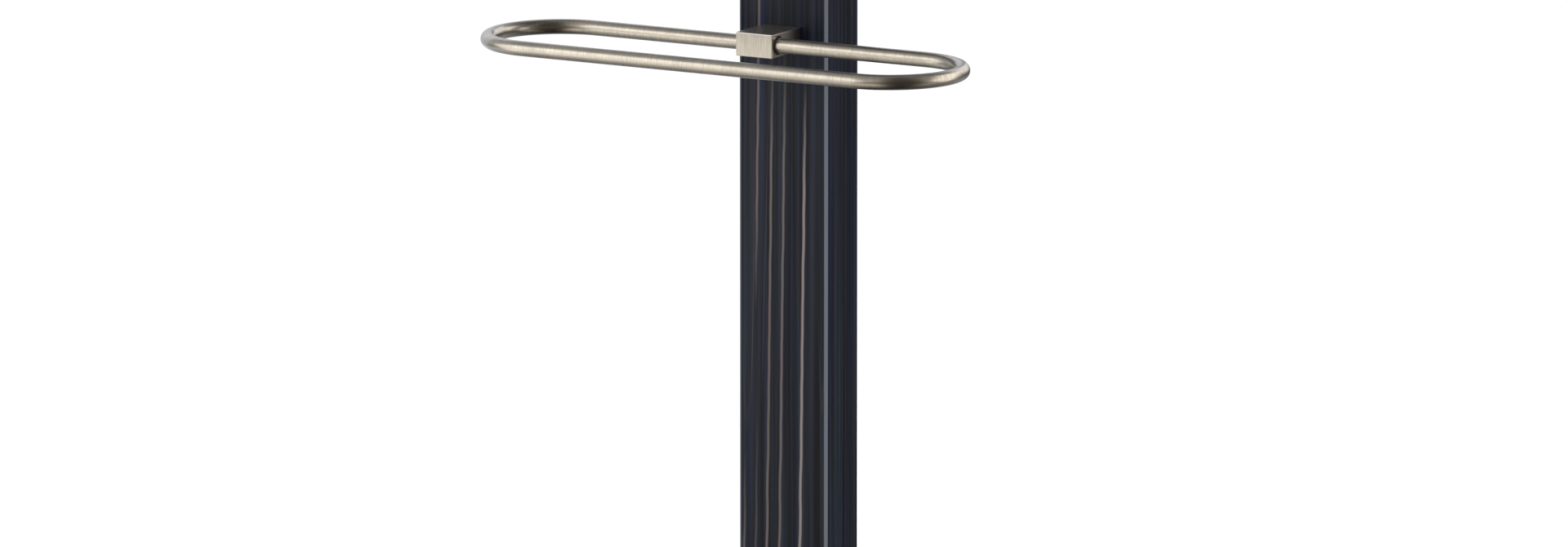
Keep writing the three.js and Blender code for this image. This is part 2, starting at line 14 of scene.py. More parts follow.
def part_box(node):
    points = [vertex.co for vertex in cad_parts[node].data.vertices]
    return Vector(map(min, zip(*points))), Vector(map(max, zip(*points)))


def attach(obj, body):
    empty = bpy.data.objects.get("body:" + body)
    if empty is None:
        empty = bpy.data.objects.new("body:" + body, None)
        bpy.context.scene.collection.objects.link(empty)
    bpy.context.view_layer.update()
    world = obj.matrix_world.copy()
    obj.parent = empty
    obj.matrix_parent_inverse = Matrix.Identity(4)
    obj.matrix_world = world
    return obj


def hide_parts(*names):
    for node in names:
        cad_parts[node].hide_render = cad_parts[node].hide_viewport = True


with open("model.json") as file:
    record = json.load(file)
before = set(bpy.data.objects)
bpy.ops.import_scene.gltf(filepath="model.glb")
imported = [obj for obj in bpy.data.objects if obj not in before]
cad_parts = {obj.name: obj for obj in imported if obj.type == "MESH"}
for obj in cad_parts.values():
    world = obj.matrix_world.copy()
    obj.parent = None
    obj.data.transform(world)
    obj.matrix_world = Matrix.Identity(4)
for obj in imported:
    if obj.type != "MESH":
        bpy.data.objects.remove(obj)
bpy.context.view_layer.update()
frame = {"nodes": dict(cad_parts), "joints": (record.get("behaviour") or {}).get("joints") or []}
MM = 0.001

# ---- Camera ----
# A long lens at the stand's front right, a little above the rail, so that the loop shows as a
# slim oval in front of the post. It aims at the post below the rail.
CAMERA_AZIMUTH = math.radians(30.3)  # where the camera stands, as the rail sees it
CAMERA_ELEVATION = math.radians(9.6)
CAMERA_DISTANCE = 10.0
VIEW_WIDTH = 1221 * MM  # what the view spans, side to side, at the rail
AIM_RIGHT = 46.9 * MM  # the view's middle from the loop's middle, as the camera sees it
AIM_BELOW = 170.9 * MM
LENS_REACH = 200  # far enough for the floor to run out of sight

rod_low, rod_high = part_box("rail_rod")
loop_middle = (rod_low + rod_high) / 2
backwards = Vector((math.sin(CAMERA_AZIMUTH) * math.cos(CAMERA_ELEVATION),
                    -math.cos(CAMERA_AZIMUTH) * math.cos(CAMERA_ELEVATION),
                    math.sin(CAMERA_ELEVATION)))
to_the_right = Vector((math.cos(CAMERA_AZIMUTH), math.sin(CAMERA_AZIMUTH), 0))
upwards = backwards.cross(to_the_right)
aim = loop_middle + to_the_right * AIM_RIGHT - upwards * AIM_BELOW

lens = bpy.data.cameras.new("long_lens")
lens.sensor_fit = "HORIZONTAL"
lens.lens = lens.sensor_width * CAMERA_DISTANCE / VIEW_WIDTH
lens.clip_end = LENS_REACH
camera = bpy.data.objects.new("camera", lens)
camera.location = loop_middle + backwards * CAMERA_DISTANCE
camera.rotation_euler = (aim - camera.location).to_track_quat("-Z", "Y").to_euler()
bpy.context.scene.collection.objects.link(camera)
bpy.context.scene.camera = camera
bpy.context.scene.view_settings.view_transform = "Standard"


# ---- Floor and light ----
# A plain white studio floor that runs out of sight. Large soft boxes at the front left and the
# back right light the stand, and two more, behind it and at its left, show in the metal alone.
def srgb(code):
    """An sRGB hex colour as linear red, green, blue and alpha."""
    parts = [int(code[i:i + 2], 16) / 255 for i in (0, 2, 4)]
    return (*[p / 12.92 if p <= 0.04045 else ((p + 0.055) / 1.055) ** 2.4 for p in parts], 1.0)


def node(tree, kind, inputs=(), stops=(), **settings):
    """Adds a shader node, with its settings, its ramp's stops, and its inputs.

    An input is a value, a node or a socket. A stop is its place from 0 to 1 and its colour. A
    MapRange's five inputs are its value, the two ends it runs between, and what they become.
    """
    made = tree.nodes.new("ShaderNode" + kind)
    for name, value in settings.items():
        setattr(made, name, value)
    for i, (place, colour) in enumerate(stops):
        mark = made.color_ramp.elements.new(place) if i > 1 else made.color_ramp.elements[i]
        mark.position, mark.color = place, colour
    for key, value in inputs.items() if isinstance(inputs, dict) else enumerate(inputs):
        if isinstance(value, bpy.types.Node):
            value = value.outputs[0]
        if isinstance(value, bpy.types.NodeSocket):
            tree.links.new(value, made.inputs[key])
        else:
            made.inputs[key].default_value = value
    return made


def material_of(name):
    """A new material with an empty node tree, and that tree."""
    made = bpy.data.materials.new(name)
    made.use_nodes = True
    made.node_tree.nodes.clear()
    return made, made.node_tree


FLOOR_SIZE = 240
FLOOR_WHITE = srgb("f7f7f7")

floor_mesh = bpy.data.meshes.new("studio_floor")
floor_mesh.from_pydata([(x * FLOOR_SIZE / 2, y * FLOOR_SIZE / 2, 0)
                        for x, y in ((-1, -1), (1, -1), (1, 1), (-1, 1))], [], [(0, 1, 2, 3)])
floor_paint, tree = material_of("matt_white_floor_paint")
floor_surface = node(tree, "BsdfDiffuse", {"Color": FLOOR_WHITE})
node(tree, "OutputMaterial", [floor_surface])
floor_mesh.materials.append(floor_paint)
studio_floor = bpy.data.objects.new("studio_floor", floor_mesh)
studio_floor.visible_glossy = False
bpy.context.scene.collection.objects.link(studio_floor)

# The room: white to the floor and to whatever is matt. What a polished surface shows of it is
# listed by degrees, round from the front and up from the horizon: cool at the left, a dark
# wall at the front right, a pale floor near the stand, and a dim horizon and ceiling.
ROUND_THE_ROOM = [(-180, "9a9fa6"), (-135, "b6bcc4"), (-88, "c4c8cc"), (-60, "ddd9d2"),
                  (9, "e4ddd4"), (23, "33281c"), (44, "24190f"), (72, "33291d"), (92, "aca59a"),
                  (126, "8a8782"), (150, "8c8a86"), (180, "9a9fa6")]
UP_THE_WALLS = [(-90, "585858"), (-68, "6e6e6e"), (-46, "dcdcdc"), (-24, "ffffff"), (-13, "8a8a8a"),
                (0, "8a8a8a"), (22, "dcdcdc"), (55, "b4b4b4"), (90, "989898")]
MIRRORED_STRENGTH = 1.1  # of the room that polished surfaces show
LIGHT_STRENGTH = 1.12  # of the white that lights the floor and the matt pieces

room = bpy.data.worlds.new("studio_room")
bpy.context.scene.world = room
room.use_nodes = True
room.node_tree.nodes.clear()
tree = room.node_tree
direction = node(tree, "SeparateXYZ", [node(tree, "TexCoord").outputs["Generated"]])
forwards = node(tree, "Math", [direction.outputs["Y"], -1.0], operation="MULTIPLY")
turn = node(tree, "Math", [direction.outputs["X"], forwards], operation="ARCTAN2")
turn = node(tree, "MapRange", [turn, -math.pi, math.pi, 0.0, 1.0])
height = node(tree, "Math", [direction.outputs["Z"]], operation="ARCSINE")
height = node(tree, "MapRange", [height, -math.pi / 2, math.pi / 2, 0.0, 1.0])
walls = node(tree, "ValToRGB", [turn], stops=[((angle + 180) / 360, srgb(code))
                                              for angle, code in ROUND_THE_ROOM])
levels = node(tree, "ValToRGB", [height], stops=[((angle + 90) / 180, srgb(code))
                                                 for angle, code in UP_THE_WALLS])
shown = node(tree, "VectorMath", [walls, levels], operation="MULTIPLY")
polished = node(tree, "Background", {"Color": shown, "Strength": MIRRORED_STRENGTH})
plain = node(tree, "Background", {"Color": srgb("ffffff"), "Strength": LIGHT_STRENGTH})
ray = node(tree, "LightPath")
seen = node(tree, "MixShader", [ray.outputs["Is Glossy Ray"], plain, polished])
node(tree, "OutputWorld", [seen])

LAMP_DISTANCE = 2.2


def soft_box(name, azimuth, height, width, tall, radiance, tint, matt=True):
    """A rectangular light that faces the rail; its radiance is what a mirror would show.

    One that is not matt shows in polished surfaces alone.
    """
    light = bpy.data.lights.new(name, "AREA")
    light.shape = "RECTANGLE"
    light.size, light.size_y = width, tall
    light.energy = radiance * math.pi * width * tall
    light.color = srgb(tint)[:3]
    lamp = bpy.data.objects.new(name, light)
    angle = math.radians(azimuth)
    lamp.location = loop_middle + Vector((math.sin(angle), -math.cos(angle), 0)) * LAMP_DISTANCE
    lamp.location.z = height
    level_aim = Vector((loop_middle.x, loop_middle.y, height))
    lamp.rotation_euler = (level_aim - lamp.location).to_track_quat("-Z", "Z").to_euler()
    lamp.visible_camera = False
    lamp.visible_diffuse = matt
    bpy.context.scene.collection.objects.link(lamp)


soft_box("key_soft_box", azimuth=-42, height=1.15, width=2.4, tall=2.2, radiance=1.18,
         tint="fffefc")
soft_box("side_soft_box", azimuth=124, height=1.5, width=3.0, tall=1.7, radiance=1.5,
         tint="fffaf4")
soft_box("back_soft_box", azimuth=176, height=1.65, width=1.6, tall=1.5, radiance=0.9,
         tint="fdfcff", matt=False)
soft_box("left_soft_box", azimuth=-125, height=1.2, width=2.6, tall=2.0, radiance=0.6,
         tint="eef4ff", matt=False)


# ---- Base board ----
# A board of fibreboard in black ebonised veneer, its edges eased with fine paper and sealed in
# satin lacquer. A pocket is routed in its underside for the ballast.
EBONY_NAVY = srgb("131a2b")  # three near blacks, which the bands run through
EBONY_BROWN = srgb("191a22")
EBONY_GREEN = srgb("151f27")
LINE_GOLD = srgb("b3a39b")
PAINTED_HIGHLIGHT_GREY = srgb("6b7077")  # a pale grey painted on the eased edges as a highlight
BAND_WIDTH = 7 * MM  # broad bands of colour across the grain
BAND_LENGTH = 400 * MM
STREAK_WIDTH = 3 * MM  # darker and paler streaks within them
FIBRE_WIDTH = 0.9 * MM  # real fibres are finer, and would not show
FIBRE_LENGTH = 90 * MM
LINE_SPACING = 16 * MM  # pale lines across the grain
LINE_LENGTH = 600 * MM
LINE_FINENESS = 0.012  # how near the grain's contour a line keeps
LACQUER_IOR = 1.5
LACQUER_GLOSS = 0.15  # the open pores leave it little
EDGE_RADIUS = 3 * MM


def object_place(tree):
    """Where a point lies in its own piece, in metres."""
    return node(tree, "TexCoord").outputs["Object"]


def facing_of(tree):
    """How far a surface faces along each axis, either way, as outputs X, Y and Z."""
    facing = node(tree, "VectorMath", [node(tree, "NewGeometry").outputs["Normal"]],
                  operation="ABSOLUTE")
    return node(tree, "SeparateXYZ", [facing])


def squareness(tree):
    """How squarely a surface faces one of the three axes: 1 on a flat face, less on its edge."""
    facing = facing_of(tree)
    level = node(tree, "Math", [facing.outputs["X"], facing.outputs["Y"]], operation="MAXIMUM")
    return node(tree, "Math", [level, facing.outputs["Z"]], operation="MAXIMUM")


def ebony(name, along, lines=0.35, painted_edge_highlight=0.0, extra=None):
    """Ebonised veneer: near black, banded along the grain, with fine pale lines here and there.

    along is the grain's axis, lines is how strong the pale lines scattered over the side grain
    are, the third is how strongly a pale grey highlight is painted on the eased edges of a square
    piece, and extra adds a piece's own lines. The eye sees a blue-black that is silky along the
    fibres.
    """
    made, tree = material_of(name)
    position = object_place(tree)

    def grain(width, length, **settings):
        scale = [1 / length if axis == along else 1 / width for axis in "xyz"]
        stretched = node(tree, "Mapping", {"Vector": position, "Scale": scale})
        return node(tree, "TexNoise", {"Vector": stretched, "Scale": 1.0, **settings})

    bands = grain(BAND_WIDTH, BAND_LENGTH, Detail=2.0, Roughness=0.5)
    streaks = grain(STREAK_WIDTH, BAND_LENGTH, Detail=1.0)
    fibres = grain(FIBRE_WIDTH, FIBRE_LENGTH, Detail=3.0, Roughness=0.6)
    tone = node(tree, "ValToRGB", [bands], stops=[(0.34, EBONY_NAVY), (0.66, EBONY_GREEN),
                                                  (0.5, EBONY_BROWN)])
    shade = node(tree, "MapRange", [fibres, 0.3, 0.7, 0.8, 1.2])
    depth = node(tree, "MapRange", [streaks, 0.3, 0.7, 0.4, 1.65])
    shade = node(tree, "Math", [shade, depth], operation="MULTIPLY")
    wood = node(tree, "VectorMath", [tone, shade], operation="MULTIPLY")

    contour = grain(LINE_SPACING, LINE_LENGTH, Detail=0.0)
    off_line = node(tree, "Math", [node(tree, "Math", [contour, 0.5], operation="SUBTRACT")],
                    operation="ABSOLUTE")
    on_line = node(tree, "MapRange", [off_line, 0.0, LINE_FINENESS, 1.0, 0.0])
    patch = node(tree, "MapRange", [grain(3 * LINE_SPACING, LINE_LENGTH / 2, Detail=1.0),
                                    0.5, 0.65, 0.0, lines])
    side_grain = node(tree, "MapRange", [facing_of(tree).outputs[along.upper()],
                                         0.5, 0.8, 1.0, 0.0])
    patch = node(tree, "Math", [patch, side_grain], operation="MULTIPLY")
    pale = node(tree, "Math", [on_line, patch], operation="MULTIPLY")
    if extra:
        pale = node(tree, "Math", [pale, extra(tree, position)], operation="ADD", use_clamp=True)
    colour = node(tree, "Mix", {0: pale, 6: wood, 7: LINE_GOLD}, data_type="RGBA")
    # Painted highlight: a pale grey laid over the eased edges, where light would catch them.
    if painted_edge_highlight:
        edge = node(tree, "MapRange", [squareness(tree), 0.93, 0.997, painted_edge_highlight, 0.0])
        colour = node(tree, "Mix", {0: edge, 6: colour.outputs[2], 7: PAINTED_HIGHLIGHT_GREY},
                      data_type="RGBA")

    sheen = node(tree, "MapRange", [fibres, 0.3, 0.7, 0.31, 0.41])
    relief = node(tree, "Bump", {"Strength": 0.25, "Distance": 0.05 * MM, "Height": fibres})
    surface = node(tree, "BsdfPrincipled", {
        "Base Color": colour.outputs[2], "Roughness": sheen, "IOR": LACQUER_IOR,
        "Specular IOR Level": LACQUER_GLOSS, "Normal": relief})
    node(tree, "OutputMaterial", [surface])
    return made


def mesh_of(name, build):
    """A mesh that build makes in an empty bmesh."""
    bm = bmesh.new()
    build(bm)
    bmesh.ops.recalc_face_normals(bm, faces=bm.faces)
    mesh = bpy.data.meshes.new(name)
    bm.to_mesh(mesh)
    bm.free()
    return mesh


def block(name, low, high, radius=0.0, corner=None, steps=4):
    """A box between two corners. Its edges are rounded, its upright ones by corner if given."""
    def build(bm):
        bmesh.ops.create_cube(bm, size=1.0)
        for v in bm.verts:
            v.co = Vector(low) + Vector((c + 0.5 for c in v.co)) * (Vector(high) - Vector(low))
        if corner:
            upright = [e for e in bm.edges
                       if abs(e.verts[0].co.z - e.verts[1].co.z) > abs(high[2] - low[2]) / 2]
            bmesh.ops.bevel(bm, geom=upright, offset=corner, segments=3 * steps, profile=0.5,
                            affect="EDGES")
        if radius:
            sharp = [e for e in bm.edges if len(e.link_faces) == 2
                     and e.calc_face_angle() > math.radians(50)]
            bmesh.ops.bevel(bm, geom=sharp, offset=radius, segments=steps, profile=0.5,
                            affect="EDGES")
    return mesh_of(name, build)


def worked(blank, cutters=(), edge=0.0, sharp=40):
    """The blank with its cutters taken away and its sharp edges eased, as a new mesh."""
    collection = bpy.context.scene.collection
    body = bpy.data.objects.new(blank.name, blank)
    collection.objects.link(body)
    tools = [bpy.data.objects.new("cutter", cutter) for cutter in cutters]
    for tool in tools:
        collection.objects.link(tool)
        cut = body.modifiers.new("cut", "BOOLEAN")
        cut.operation, cut.solver, cut.object = "DIFFERENCE", "EXACT", tool
    if edge:
        ease = body.modifiers.new("ease", "BEVEL")
        ease.width, ease.segments, ease.limit_method = edge, 3, "ANGLE"
        ease.angle_limit = math.radians(sharp)
        ease.use_clamp_overlap = True
    body.modifiers.new("flat_faces_stay_flat", "WEIGHTED_NORMAL").keep_sharp = True
    bpy.context.view_layer.update()
    body.data.shade_smooth()
    body.data.set_sharp_from_angle(angle=math.radians(sharp))
    whole = body.evaluated_get(bpy.context.evaluated_depsgraph_get())
    made = bpy.data.meshes.new_from_object(whole)
    made.name = blank.name
    for used in [body, *tools]:
        bpy.data.objects.remove(used)
    return made


def place(name, mesh, finish, slot, *nodes, body="stand", at=None):
    """Adds a piece in its finish, in place of its CAD nodes, and rides it on its body."""
    piece = bpy.data.objects.new(name, mesh)
    bpy.context.scene.collection.objects.link(piece)
    if at:
        piece.matrix_world = at
    if not mesh.materials:
        mesh.materials.append(finish)
    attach(piece, body)
    if nodes:
        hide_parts(*nodes)
    return piece


def grown(low, high, by):
    """The two corners of a box, moved out by one distance."""
    step = Vector((by, by, by))
    return low - step, high + step


FIT = 0.2 * MM  # the gap round a piece that sits in a pocket or a bore
board_low, board_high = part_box("base_board")
ballast_low, ballast_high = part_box("ballast_plate")
pocket_low, pocket_high = grown(ballast_low, ballast_high, FIT)
pocket = block("pocket", (pocket_low.x, pocket_low.y, board_low.z - EDGE_RADIUS), pocket_high)
board = block("veneered_base", board_low, board_high, EDGE_RADIUS)
# The board's eased edges get the painted grey highlight.
ebony_along_x = ebony("ebonised_veneer_across", "x", painted_edge_highlight=0.7)
place("veneered_base", worked(board, [pocket]), ebony_along_x, "black_wood", "base_board")


# ---- Ballast plate ----
# A flat steel plate that fills the pocket, powder coated in fine black, and held by four
# countersunk wood screws with cross recesses.
COAT_BLACK = srgb("242426")
COAT_GRIT = 0.6 * MM  # the orange-peel of a powder coat
ZINC_GREY = srgb("bfc4c8")
ZINC_SPANGLE = 1.5 * MM
PLATE_EDGE = 0.5 * MM

# Baked powder: a soft black, stippled by its orange-peel.
powder_coat, tree = material_of("black_powder_coat")
peel = node(tree, "TexNoise", {"Vector": object_place(tree), "Scale": 1 / COAT_GRIT,
                               "Detail": 2.0})
tone = node(tree, "MapRange", [peel, 0.3, 0.7, 0.9, 1.15])
black = node(tree, "VectorMath", [COAT_BLACK[:3], tone], operation="MULTIPLY")
peel_relief = node(tree, "Bump", {"Strength": 0.5, "Distance": 0.03 * MM, "Height": peel})
surface = node(tree, "BsdfPrincipled", {
    "Base Color": black, "Roughness": 0.5, "IOR": 1.5, "Normal": peel_relief})
node(tree, "OutputMaterial", [surface])

# Electroplated zinc: a bluish white metal, a little clouded.
zinc_plate, tree = material_of("bright_zinc_plate")
spangle = node(tree, "TexVoronoi", {"Vector": object_place(tree), "Scale": 1 / ZINC_SPANGLE})
tone = node(tree, "MapRange", [spangle.outputs["Distance"], 0.0, 0.8, 0.88, 1.06])
bluish = node(tree, "VectorMath", [ZINC_GREY[:3], tone], operation="MULTIPLY")
cloud = node(tree, "MapRange", [spangle.outputs["Distance"], 0.0, 0.8, 0.24, 0.36])
surface = node(tree, "BsdfPrincipled", {
    "Base Color": bluish, "Roughness": cloud, "Metallic": 1.0})
node(tree, "OutputMaterial", [surface])


def centre_of(name):
    """The middle of a CAD node's box."""
    low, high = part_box(name)
    return (low + high) / 2


def half_width(name, axis=0):
    """Half of a CAD node's size along an axis, X unless one is given."""
    low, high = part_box(name)
    return (high[axis] - low[axis]) / 2


def standing_on(point, axis):
    """A place whose own +Z points along axis."""
    turn = Vector((0, 0, 1)).rotation_difference(Vector(axis))
    return Matrix.Translation(point) @ turn.to_matrix().to_4x4()


def cross_recess(width, depth):
    """The cut that a cross-head driver fits: a cross that tapers downwards from above z = 0."""
    half, arm = width / 2, 0.08 * width
    quarter = [(half, -arm), (half, arm), (arm, arm)]

    def build(bm):
        ends = []
        for height, taper in ((-depth, 0.45), (depth, 1.0)):
            ring = []
            for turn in range(4):
                for x, y in quarter:
                    corner = Matrix.Rotation(turn * math.pi / 2, 3, "Z") @ Vector((x, y, 0))
                    ring.append(bm.verts.new((corner.x * taper, corner.y * taper, height)))
            ends.append(ring)
            bm.faces.new(ring)
        low, high = ends
        for i in range(len(low)):
            bm.faces.new((low[i - 1], low[i], high[i], high[i - 1]))
    return mesh_of("cross", build)


def turned(name, profile, sides=48):
    """A turned solid about Z, from [radius, height] pairs that run up its outside."""
    def build(bm):
        ring = [bm.verts.new((radius, 0, height)) for radius, height in profile]
        outline = [bm.edges.new(pair) for pair in zip(ring, ring[1:])]
        bmesh.ops.spin(bm, geom=ring + outline, cent=(0, 0, 0), axis=(0, 0, 1),
                       angle=2 * math.pi, steps=sides, use_merge=True)
        bmesh.ops.remove_doubles(bm, verts=bm.verts, dist=1e-7)
    return mesh_of(name, build)


def countersunk(name, shank, head, length, recess):
    """A countersunk screw with its face at z = 0 and its recess cut in it."""
    ease = 0.12 * (head - shank)
    point = min(2 * shank, 0.5 * (length - (head - shank)))
    profile = [(0, -length), (0.3 * shank, -length), (shank, -length + point),
               (shank, -(head - shank)), (head, -ease), (head, -0.4 * ease),
               (head - 0.6 * ease, 0), (0, 0)]
    return worked(turned(name, profile), [recess], sharp=30)


def sink_for(head, face, axis):
    """The cut that a countersunk head fits, in a face that looks along axis."""
    sink = turned("sink", [(0, -head), (FIT, -head), (head + FIT, 0), (head + FIT, head),
                           (0, head)])
    sink.transform(standing_on(face, axis))
    return sink


CORNERS = ["front_left", "front_right", "back_left", "back_right"]

head = half_width("ballast_screw_front_left")
ballast_screw = countersunk("ballast_screw", head / 2, head, length=12 * MM,
                            recess=cross_recess(1.1 * head, depth=1.6 * MM))
sinks = []
for corner in CORNERS:
    middle = centre_of(f"ballast_screw_{corner}")
    face = Vector((middle.x, middle.y, ballast_low.z))
    sinks.append(sink_for(head, face, (0, 0, -1)))
    place(f"countersunk_screw_{corner}", ballast_screw, zinc_plate, "zinc_steel",
          f"ballast_screw_{corner}", at=standing_on(face, (0, 0, -1)))
plate = block("coated_ballast", ballast_low, ballast_high, PLATE_EDGE)
place("coated_ballast", worked(plate, sinks), powder_coat, "black_steel", "ballast_plate")


# ---- Glides ----
# Four moulded rubber feet with rounded rims. Each is held by a screw up its middle, whose head
# is sunk out of reach of the floor.
RUBBER_BLACK = srgb("1d1d1e")
RUBBER_GRAIN = 0.8 * MM
RIM = 1.2 * MM
WELL_CHAMFER = 0.3 * MM

# Rubber from an etched mould: a dull, sooty black.
moulded_rubber, tree = material_of("moulded_black_rubber")
grain = node(tree, "TexNoise", {"Vector": object_place(tree), "Scale": 1 / RUBBER_GRAIN,
                                "Detail": 3.0})
tone = node(tree, "MapRange", [grain, 0.3, 0.7, 0.8, 1.25])
sooty = node(tree, "VectorMath", [RUBBER_BLACK[:3], tone], operation="MULTIPLY")
grain_relief = node(tree, "Bump", {"Strength": 0.4, "Distance": 0.04 * MM, "Height": grain})
surface = node(tree, "BsdfPrincipled", {
    "Base Color": sooty, "Roughness": 0.75, "IOR": 1.52, "Normal": grain_relief})
node(tree, "OutputMaterial", [surface])

glide_low, glide_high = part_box("glide_front_left")
glide_radius = half_width("glide_front_left")
glide_height = glide_high.z - glide_low.z
screw_radius = half_width("glide_screw_front_left")
screw_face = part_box("glide_screw_front_left")[0].z
well = screw_radius + FIT
glide_outline = [(well - FIT, screw_face + FIT), (well, screw_face), (well, WELL_CHAMFER),
                 (well + WELL_CHAMFER, 0)]
glide_outline += [(glide_radius - RIM + RIM * math.sin(a), RIM - RIM * math.cos(a))
                  for a in (math.radians(d) for d in range(0, 91, 15))]
glide_outline += [(glide_radius, glide_height), (0, glide_height), (0, screw_face + screw_radius),
                  (well - FIT, screw_face + FIT)]
rubber_glide = worked(turned("rubber_glide", glide_outline), sharp=30)
glide_screw = countersunk("glide_screw", screw_radius / 2, screw_radius, length=3 * MM,
                          recess=cross_recess(1.1 * screw_radius, depth=1.2 * MM))
for corner in CORNERS:
    middle = centre_of(f"glide_{corner}")
    foot = Matrix.Translation((middle.x, middle.y, 0))
    place(f"rubber_glide_{corner}", rubber_glide, moulded_rubber, "glide_rubber",
          f"glide_{corner}", at=foot)
    place(f"foot_screw_{corner}", glide_screw, zinc_plate, "zinc_steel", f"glide_screw_{corner}",
          at=standing_on(Vector((middle.x, middle.y, screw_face)), (0, 0, -1)))


# ---- Post ----
# A square-cut stick wrapped in veneer whose grain runs upwards, bolted and dowelled to the base.
# Its corners are rounded over, and a few thin golden lines run up its front and lean a little.
LINE_LEAN = 0.013  # how far the grain leans to the right as it rises
LINE_WANDER = 0.2 * MM
WANDER_LENGTH = 28.57 * MM
LINE_FADE = 90 * MM
HEAD_ROOM = 0.6 * MM  # round a screw's head in its pocket
# Each line: its place right of the post's middle at the rail, its half width, the heights
# between which it shows, all in millimetres, and its strength.
POST_LINES = [(-29.5, 1.5, 40, 470, 0.16),
              (-21.5, 1.7, 580, 1060, 0.2),
              (-19.0, 1.4, 60, 500, 0.08),
              (-8.8, 1.7, 30, 800, 0.2),
              (2.6, 1.7, 180, 800, 0.2),
              (21.2, 1.8, 90, 770, 0.4),
              (31.0, 1.4, 860, 1050, 0.12)]

post_low, post_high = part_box("post")


def post_lines(tree, position):
    """The golden lines on the post's front, as one strength."""
    at = node(tree, "SeparateXYZ", [position])
    rise = node(tree, "Math", [at.outputs["Z"], loop_middle.z], operation="SUBTRACT")
    lean = node(tree, "Math", [rise, LINE_LEAN], operation="MULTIPLY")
    wave = node(tree, "TexNoise", {"W": at.outputs["Z"], "Scale": 1 / WANDER_LENGTH,
                                   "Detail": 0.0}, noise_dimensions="1D")
    wander = node(tree, "MapRange", [wave, 0.3, 0.7, -LINE_WANDER, LINE_WANDER])
    across = node(tree, "Math", [at.outputs["X"], lean], operation="SUBTRACT")
    across = node(tree, "Math", [across, wander], operation="ADD")
    front = node(tree, "Math", [at.outputs["Y"], post_low.y + EDGE_RADIUS],
                 operation="LESS_THAN")
    total = None
    for right, half, bottom, top, strength in POST_LINES:
        off = node(tree, "Math", [across, right * MM], operation="SUBTRACT")
        off = node(tree, "Math", [off], operation="ABSOLUTE")
        line = node(tree, "MapRange", [off, 0.2 * half * MM, half * MM, strength, 0.0],
                    interpolation_type="SMOOTHSTEP")
        start = node(tree, "MapRange", [at.outputs["Z"], bottom * MM, bottom * MM + LINE_FADE,
                                        0.0, 1.0])
        end = node(tree, "MapRange", [at.outputs["Z"], top * MM - LINE_FADE, top * MM, 1.0, 0.0])
        line = node(tree, "Math", [line, start], operation="MULTIPLY")
        line = node(tree, "Math", [line, end], operation="MULTIPLY")
        total = node(tree, "Math", [total, line], operation="ADD") if total else line
    return node(tree, "Math", [total, front], operation="MULTIPLY")


def drilled(radius, depth, past, face, axis, sides=48):
    """The cut of a drill: depth into a face that looks along axis, and past it outside."""
    hole = turned("hole", [(0, -depth), (radius, -depth), (radius, past), (0, past)], sides)
    hole.transform(standing_on(face, axis))
    return hole


spine_middle = centre_of("spine_screw")
head_pocket = drilled(half_width("spine_screw") + HEAD_ROOM, depth=4 * MM, past=MM,
                      face=Vector((0, post_high.y, spine_middle.z)), axis=(0, 1, 0))
stick = block("veneered_post", post_low, post_high, EDGE_RADIUS, steps=6)
# The post's rounded corners get the painted grey highlight.
ebony_along_z = ebony("ebonised_veneer_upright", "z", lines=0.12, painted_edge_highlight=0.75,
                      extra=post_lines)
place("veneered_post", worked(stick, [head_pocket]), ebony_along_z, "black_wood", "post")


# ---- Bracket ----
# A square-edged arm milled from steel bar, brushed up and down and plated in warm nickel. It is
# cross-bored for the rail, and two screws through the post hold it.
NICKEL = srgb("d3cdc2")
NICKEL_STAINED = srgb("ccc4b6")
# A near white painted on the bracket's edges as a highlight.
NICKEL_PAINTED_HIGHLIGHT = srgb("fbf6ee")
BRACKET_BRIGHTNESS = 0.88  # its plating is a little darker than the rail's
BRUSH_WIDTH = 0.9 * MM  # the scratches of a fine belt are finer, and would not show
BRUSH_LENGTH = 14 * MM
STAIN_SIZE = 22 * MM
ARM_EDGE = 0.8 * MM
ROD_CLEARANCE = 0.1 * MM
SET_SCREW_LENGTH = 2 * MM
SIDES = ["left", "right"]


def brushed_nickel(name, place_of, brush_scale, brightness=1.0, painted_edge_glint=0.0):
    """Brushed nickel plate: a warm metal whose fine scratches all run one way.

    The eye sees a satin metal that draws highlights out across the scratches. place_of gives
    where a point lies, brush_scale is how many scratches a metre there are each way, and the
    last is how strongly a near white highlight is painted on a square piece's edges.
    """
    made, tree = material_of(name)
    position = place_of(tree)
    scratches = node(tree, "TexNoise", {
        "Vector": node(tree, "Mapping", {"Vector": position, "Scale": brush_scale}),
        "Scale": 1.0, "Detail": 3.0, "Roughness": 0.65})
    stain = node(tree, "TexNoise", {"Vector": position, "Scale": 1 / STAIN_SIZE, "Detail": 2.0})
    tone = node(tree, "MapRange", [scratches, 0.25, 0.75, 0.75 * brightness, 1.17 * brightness])
    patch = node(tree, "MapRange", [stain, 0.3, 0.7, 0.88, 1.1])
    tone = node(tree, "Math", [tone, patch], operation="MULTIPLY")
    warmth = node(tree, "Mix", {0: stain, 6: NICKEL, 7: NICKEL_STAINED}, data_type="RGBA")
    metal = node(tree, "VectorMath", [warmth.outputs[2], tone], operation="MULTIPLY")
    # Painted highlight: a near white laid over the edges, where light would catch them.
    if painted_edge_glint:
        edge = node(tree, "MapRange", [squareness(tree), 0.94, 0.999, painted_edge_glint, 0.0])
        metal = node(tree, "Mix", {0: edge, 6: metal, 7: NICKEL_PAINTED_HIGHLIGHT}, data_type="RGBA")
        metal = metal.outputs[2]
    polish = node(tree, "MapRange", [scratches, 0.25, 0.75, 0.36, 0.26])
    relief = node(tree, "Bump", {"Strength": 0.35, "Distance": 0.03 * MM, "Height": scratches})
    surface = node(tree, "BsdfPrincipled", {
        "Base Color": metal, "Metallic": 1.0, "Roughness": polish, "Normal": relief})
    node(tree, "OutputMaterial", [surface])
    return made
